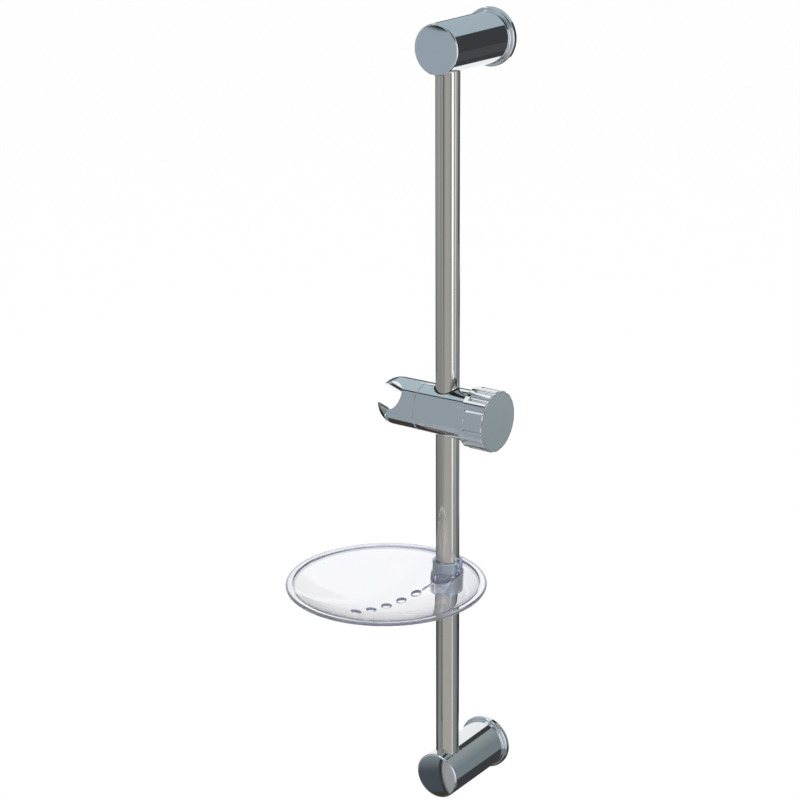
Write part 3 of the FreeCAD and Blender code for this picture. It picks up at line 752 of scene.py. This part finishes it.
# Sides of the cards' circles, half a turn in degrees, and blur between bands in degrees or metres
CARD_SIDES = 96
SURROUND_SIDES = 128
HALF_TURN = 180
SURROUND_BLUR = 0.8
RING_BLUR = 0.3
ROUND_BLUR = 0.0002

# Share of the surround that shows in the gloss of clear plastic
SURROUND_GLOSS = 0.15

# Tells no bounce of light from one or more
HALF_A_BOUNCE = 0.5


class CardNodes(Nodes):
    """Node tree of a card: paint that shows in polished surfaces, not to the camera."""

    def __init__(self, owner):
        super().__init__(owner)
        self.place = self.add("TexCoord").outputs["Object"]

    def angle(self):
        """Angle round the card's own Z, 0 to 1 from -180 to 180 degrees."""
        pattern = self.add("TexGradient", gradient_type="RADIAL")
        self.join(self.place, pattern.inputs["Vector"])
        return pattern.outputs["Fac"]

    def axis_share(self, axis, low, high):
        """Place along one of the card's own axes, 0 to 1 between two limits."""
        split = self.add("SeparateXYZ")
        share = self.add("MapRange")
        share.inputs["From Min"].default_value = low
        share.inputs["From Max"].default_value = high
        self.join(self.place, split.inputs["Vector"])
        self.join(split.outputs[axis], share.inputs["Value"])
        return share.outputs["Result"]

    def both(self, operation, first, second, **settings):
        """Result of an operation on two values."""
        node = self.add("Math", operation=operation, **settings)
        for value, socket in ((first, node.inputs[0]), (second, node.inputs[1])):
            if isinstance(value, float):
                socket.default_value = value
            else:
                self.join(value, socket)
        return node.outputs[0]

    def show(self, colour, in_gloss, through_clear):
        """Shows the paint in metal, a share of it in clear plastic's gloss, and through that if asked."""
        rays = self.add("LightPath")
        gloss = self.both("MULTIPLY", rays.outputs["Is Singular Ray"], rays.outputs["Is Reflection Ray"])
        held_back = self.both("MULTIPLY", gloss, 1.0 - in_gloss)
        mirrored = self.both("GREATER_THAN", rays.outputs["Glossy Depth"], HALF_A_BOUNCE)
        shown = self.both("SUBTRACT", mirrored, held_back, use_clamp=True)
        if not through_clear:
            direct = self.both("LESS_THAN", rays.outputs["Transmission Depth"], HALF_A_BOUNCE)
            shown = self.both("MULTIPLY", shown, direct)
        glow = self.add("Emission")
        unseen = self.add("BsdfTransparent")
        either = self.add("MixShader")
        output = self.add("OutputMaterial")
        self.join(colour, glow.inputs["Color"])
        self.join(shown, either.inputs["Fac"])
        self.join(unseen.outputs["BSDF"], either.inputs[1])
        self.join(glow.outputs["Emission"], either.inputs[2])
        self.join(either.outputs["Shader"], output.inputs["Surface"])


def only_reflected(card):
    """A card beside the set: seen in polished surfaces, not by the camera, and without a shadow."""
    material = bpy.data.materials.new(card.name)
    card.data.materials.append(material)
    card.visible_camera = False
    card.visible_diffuse = False
    card.visible_shadow = False
    return CardNodes(material)


def bands(blur, *spans):
    """Ramp stops for spans (start, end, colour), each pair of neighbours joined over a short blur."""
    stops = []
    for start, end, colour in spans:
        stops.append((start + blur, colour))
        stops.append((end - blur, colour))
    return stops


def placed(card, centre, columns):
    """Puts a card's own axes along three directions at a place."""
    card.matrix_world = Matrix.Translation(centre) @ Matrix(columns).transposed().to_4x4()


def add_circle(name, sides, radius, fill):
    """New circle of a number of sides, as a line or filled."""
    deselect_all()
    bpy.ops.mesh.primitive_circle_add(vertices=sides, radius=radius, fill_type=fill)
    circle = bpy.context.object
    circle.name = name
    return circle


def ring_card(name, centre, columns, inner, outer, through_clear, spans):
    """Flat ring of card round an axis, painted in sectors."""
    card = add_circle(name, CARD_SIDES, inner, "NOTHING")
    bpy.ops.object.mode_set(mode="EDIT")
    bpy.ops.mesh.select_all(action="SELECT")
    bpy.ops.mesh.extrude_edges_move()
    bpy.ops.transform.resize(value=(outer / inner, outer / inner, 1))
    bpy.ops.object.mode_set(mode="OBJECT")
    placed(card, centre, columns)
    nodes = only_reflected(card)
    paint = nodes.paint(nodes.angle(), -HALF_TURN, HALF_TURN, bands(RING_BLUR, *spans))
    nodes.show(paint, in_gloss=0.0, through_clear=through_clear)


def surround_card(name, centre, radius, low, high, lower_spans, upper_spans):
    """Upright card round the set, painted in panels that change from a lower to an upper set."""
    card = add_circle(name, SURROUND_SIDES, radius, "NOTHING")
    bpy.ops.object.mode_set(mode="EDIT")
    bpy.ops.mesh.select_all(action="SELECT")
    bpy.ops.transform.translate(value=(0, 0, low))
    bpy.ops.mesh.extrude_edges_move(TRANSFORM_OT_translate={"value": (0, 0, high - low)})
    bpy.ops.object.mode_set(mode="OBJECT")
    columns = (Vector((0, -1, 0)), Vector((1, 0, 0)), Vector((0, 0, 1)))
    placed(card, Vector((centre.x, centre.y, 0)), columns)
    nodes = only_reflected(card)
    angle = nodes.angle()
    change = nodes.add("Mix", data_type="RGBA")
    height = nodes.axis_share("Z", LOWER_PANEL_HEIGHT, UPPER_PANEL_HEIGHT)
    nodes.join(height, change.inputs["Factor"])
    for spans, socket in ((lower_spans, "A"), (upper_spans, "B")):
        paint = nodes.paint(angle, -HALF_TURN, HALF_TURN, bands(SURROUND_BLUR, *spans))
        nodes.join(paint, change.inputs[socket])
    nodes.show(change.outputs["Result"], in_gloss=SURROUND_GLOSS, through_clear=True)


def round_card(name, centre, columns, spans):
    """Round card that reaches to the end of its spans, painted in straight bands along its own X."""
    radius = spans[-1][1]
    card = add_circle(name, CARD_SIDES, radius, "NGON")
    placed(card, centre, columns)
    nodes = only_reflected(card)
    share = nodes.axis_share("X", -radius, radius)
    paint = nodes.paint(share, -radius, radius, bands(ROUND_BLUR, *spans))
    nodes.show(paint, in_gloss=0.0, through_clear=False)


def plain_card(name, centre, columns, radius, colour):
    """Round card of one colour."""
    round_card(name, centre, columns, ((-radius, 0, colour), (0, radius, colour)))


# Sensor of the camera in millimetres, and radius of the floor in metres
SENSOR_WIDTH = 36.0
FLOOR_RADIUS = 14.0


class SLIDERAIL_OT_stage(PieceOperator):
    """Set the camera, the pale floor, soft light and the cards round the set"""

    bl_idname = "slide_rail.stage"
    bl_label = "Stage"

    def execute(self, context):
        self.set_camera(context)
        self.set_light_paths(context)
        self.set_world(context)
        self.lay_floor()
        self.hang_lights()
        self.place_cards()
        return {"FINISHED"}

    def set_camera(self, context):
        stage = stage_settings()
        level = math.cos(stage.pitch)
        right = Vector((math.cos(stage.azimuth), math.sin(stage.azimuth), 0))
        back = Vector((
            math.sin(stage.azimuth) * level, -math.cos(stage.azimuth) * level, math.sin(stage.pitch)))
        up = back.cross(right)
        aim = Vector((0, RAIL_AXIS.y, stage.height)) + right * stage.aside
        across = right * math.cos(stage.roll) + up * math.sin(stage.roll)
        upward = up * math.cos(stage.roll) - right * math.sin(stage.roll)
        bpy.ops.object.camera_add()
        camera = context.object
        camera.name = "camera"
        turn = Matrix((across, upward, back)).transposed().to_4x4()
        camera.matrix_world = Matrix.Translation(aim + back * stage.distance) @ turn
        camera.data.lens = stage.lens
        camera.data.sensor_width = SENSOR_WIDTH
        context.scene.camera = camera
        context.scene.view_settings.view_transform = "Standard"

    def set_light_paths(self, context):
        """Lets light pass on inside the clear plastic until it leaves."""
        paths = context.scene.cycles
        paths.max_bounces = 32
        paths.glossy_bounces = 24
        paths.transmission_bounces = 24

    def set_world(self, context):
        world = bpy.data.worlds.new("studio")
        context.scene.world = world
        nodes = Nodes(world)
        light = nodes.add("Background")
        light.inputs["Color"].default_value = (1, 1, 1, 1)
        light.inputs["Strength"].default_value = 1.0
        output = nodes.add("OutputWorld")
        nodes.join(light.outputs["Background"], output.inputs["Surface"])

    def lay_floor(self):
        stage = stage_settings()
        floor = add_circle("floor", ROUND_SIDES, FLOOR_RADIUS, "NGON")
        floor.location.z = -stage.floor_drop
        material = bpy.data.materials.new("pale_floor")
        nodes = Nodes(material)
        shader, _ = nodes.surface(Roughness=0.9, Metallic=0.0)
        mottle = nodes.noise(3.0, detail=4.0)
        colour = tuple(stage.floor)
        nodes.join(nodes.tinted(mottle, shade(colour, 0.995), colour), shader.inputs["Base Color"])
        floor.data.materials.append(material)

    def hang_lights(self):
        stage = stage_settings()
        for name, power, place, size in (
                ("key_light", stage.key_power, Vector((-0.9, -1.6, 2.2)), 1.8),
                ("fill_light", stage.fill_power, Vector((1.8, -1.2, 1.4)), 1.6)):
            bpy.ops.object.light_add(type="AREA", location=place)
            lamp = bpy.context.object
            lamp.name = name
            lamp.data.energy = power
            lamp.data.size = size
            lamp.rotation_euler = (RAIL_AXIS - place).to_track_quat("-Z", "Y").to_euler()

    def place_cards(self):
        x, y, z = Vector((1, 0, 0)), Vector((0, 1, 0)), Vector((0, 0, 1))
        surround_card(
            "surround_card", RAIL_AXIS, radius=1.4, low=-1.6, high=0.7,
            lower_spans=LOWER_PANELS, upper_spans=UPPER_PANELS)
        behind_wall = 0.2
        across = (x, z, -y)
        ring_card(
            "upper_card", Vector((0, behind_wall, UPPER_AXIS.z)), across, inner=0.10, outer=0.24,
            through_clear=False, spans=UPPER_SECTORS)
        ring_card(
            "lower_card", Vector((0, behind_wall, LOWER_AXIS.z)), across, inner=0.12, outer=0.31,
            through_clear=False, spans=LOWER_SECTORS)
        left = SLIDER_AXIS - x * 0.4
        lengthways = (-y, z, -x)
        ring_card(
            "slider_card", left, lengthways, inner=0.48, outer=0.685,
            through_clear=True, spans=SLIDER_SECTORS)
        ring_card(
            "knob_card", left, lengthways, inner=0.685, outer=0.82,
            through_clear=True, spans=KNOB_SECTORS)
        level = (x, y, z)
        plain_card("table_card", Vector((0.02, RAIL_AXIS.y, -0.8)), level, radius=0.42, colour=BROWN)
        plain_card("carpet_card", Vector((0.02, RAIL_AXIS.y, -0.82)), level, radius=0.9, colour=MID_GREY)
        place = Vector((0.46, -0.59, 1.06))
        back = -place.normalized()
        right = z.cross(back).normalized()
        plain_card("overhead_card", place, (right, back.cross(right), back), radius=0.62, colour=DARK)
        plain_card("ceiling_card", Vector((0, 0, 1.2)), level, radius=3.2, colour=SKY)
        self.place_disc_cards()

    def mirrored_frame(self, place, mirror):
        """Where a card goes to be seen in a flat face from the camera: centre, right, up and back."""
        far = 0.25
        camera = bpy.context.scene.camera.matrix_world.translation
        towards = (camera - place).normalized()
        right = Vector((0, 0, 1)).cross(towards).normalized()
        up = towards.cross(right)
        back = mirror @ towards
        return place - back * far, mirror @ right, mirror @ up, back

    def place_disc_cards(self):
        """Cards that the flat fronts of the brackets and the knob mirror to the camera."""
        front_mirror = Matrix.Diagonal((1, -1, 1))
        side_mirror = Matrix.Diagonal((-1, 1, 1))
        front = Vector((UPPER_AXIS.x, UPPER_LOW.y, UPPER_AXIS.z))
        centre, right, up, back = self.mirrored_frame(front, front_mirror)
        turn = math.radians(UPPER_DISC_TURN)
        along = up * math.cos(turn) + right * math.sin(turn)
        across = right * math.cos(turn) - up * math.sin(turn)
        round_card("upper_disc_card", centre, (along, -across, back), UPPER_DISC_BANDS)
        front = Vector((LOWER_AXIS.x, LOWER_LOW.y, LOWER_AXIS.z))
        centre, right, up, back = self.mirrored_frame(front, front_mirror)
        columns = (up, -right, back)
        round_card("lower_disc_card", centre, columns, LOWER_DISC_BANDS)
        lens = centre + right * LENS_ASIDE + up * LENS_RISE
        plain_card("lens_edge_card", lens + back * LENS_GAP, columns, LENS_EDGE_RADIUS, DARK)
        plain_card("lens_card", lens + back * (2 * LENS_GAP), columns, LENS_RADIUS, LENS_GREY)
        face = Vector((KNOB_HIGH.x, SLIDER_AXIS.y, SLIDER_AXIS.z))
        centre, right, up, back = self.mirrored_frame(face, side_mirror)
        round_card("knob_face_card", centre, (up, -right, back), KNOB_FACE_BANDS)


class SLIDERAIL_PT_panel(bpy.types.Panel):
    """Lists the pieces and the stage"""

    bl_label = "Slide rail"
    bl_idname = "SLIDERAIL_PT_panel"
    bl_space_type = "VIEW_3D"
    bl_region_type = "UI"
    bl_category = "Slide rail"

    def draw(self, context):
        layout = self.layout
        for operator in OPERATORS:
            layout.operator(operator.bl_idname)
        for group in (finishes(), knob_sizes(), stage_settings()):
            for name in group.__annotations__:
                layout.prop(group, name)


OPERATORS = (
    SLIDERAIL_OT_tube, SLIDERAIL_OT_brackets, SLIDERAIL_OT_slider, SLIDERAIL_OT_knob, SLIDERAIL_OT_holder,
    SLIDERAIL_OT_dish, SLIDERAIL_OT_stage)
CLASSES = (SlideRailFinishes, SlideRailKnob, SlideRailStage, *OPERATORS, SLIDERAIL_PT_panel)


def register():
    for cls in CLASSES:
        bpy.utils.register_class(cls)
    bpy.types.Scene.slide_rail_finishes = PointerProperty(type=SlideRailFinishes)
    bpy.types.Scene.slide_rail_knob = PointerProperty(type=SlideRailKnob)
    bpy.types.Scene.slide_rail_stage = PointerProperty(type=SlideRailStage)


def unregister():
    del bpy.types.Scene.slide_rail_stage
    del bpy.types.Scene.slide_rail_knob
    del bpy.types.Scene.slide_rail_finishes
    for cls in reversed(CLASSES):
        bpy.utils.unregister_class(cls)


def main():
    register()
    bpy.ops.slide_rail.tube()
    bpy.ops.slide_rail.brackets()
    bpy.ops.slide_rail.slider()
    bpy.ops.slide_rail.knob()
    bpy.ops.slide_rail.holder()
    bpy.ops.slide_rail.dish()
    bpy.ops.slide_rail.stage()


if __name__ == "__main__":
    main()
